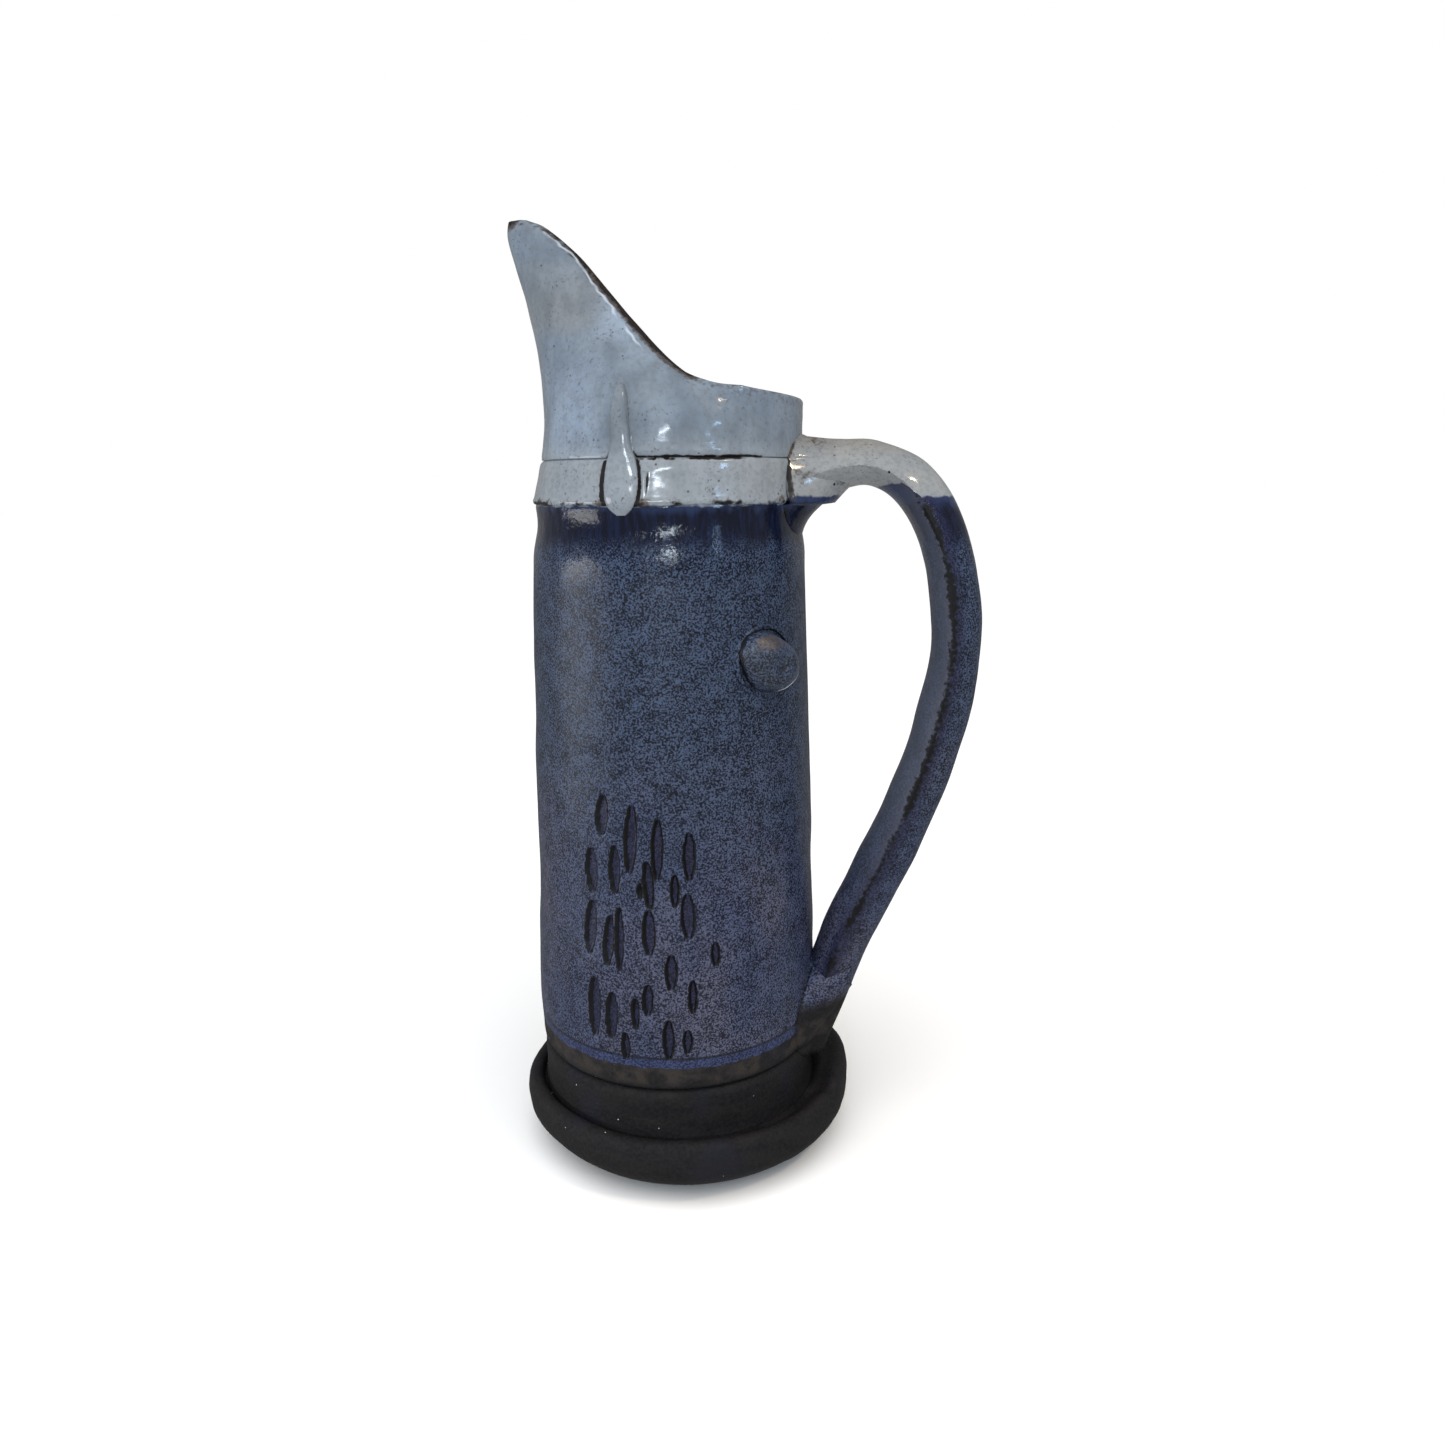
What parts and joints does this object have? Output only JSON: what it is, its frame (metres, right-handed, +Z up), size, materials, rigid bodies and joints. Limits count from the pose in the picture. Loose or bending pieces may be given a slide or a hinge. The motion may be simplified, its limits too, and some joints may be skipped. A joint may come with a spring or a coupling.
{
  "type": "ceramic pitcher",
  "caption": "Tall slab-built ceramic pitcher with a saucer foot, lapped collar, long beak spout, bowed strap handle and a pressed pellet on its wall.",
  "frame": {"origin": "middle of the wall tube at the underside of the saucer foot, on the surface that the pitcher stands on", "axes": "+Z up along the tube; the spout points to -X; the handle stands on the +X side, turned 12 degrees towards -Y; the gouges, the strap over the lap joint and the pellet are on the -Y side"},
  "size_m": [0.153, 0.1152, 0.3032],
  "materials": {
    "white_glaze": "glossy white glaze that breaks brown over edges and ridges",
    "blue_glaze": "mottled slate-blue satin glaze, glossier and darker where it is thick",
    "dark_clay": "bare charcoal stoneware, matt, with fine pale specks"
  },
  "bodies": {
    "root": {"base_slab": "dark_clay", "foot_band": "dark_clay", "inner_coil": "white_glaze", "body_wall": "blue_glaze", "collar_band": "white_glaze", "spout": "white_glaze", "joint_strap": "white_glaze", "handle": "blue_glaze", "handle_root_coil": "white_glaze", "handle_foot_coil": "blue_glaze", "boss": "blue_glaze", "boss_seat": "blue_glaze"}
  },
  "joints": []
}
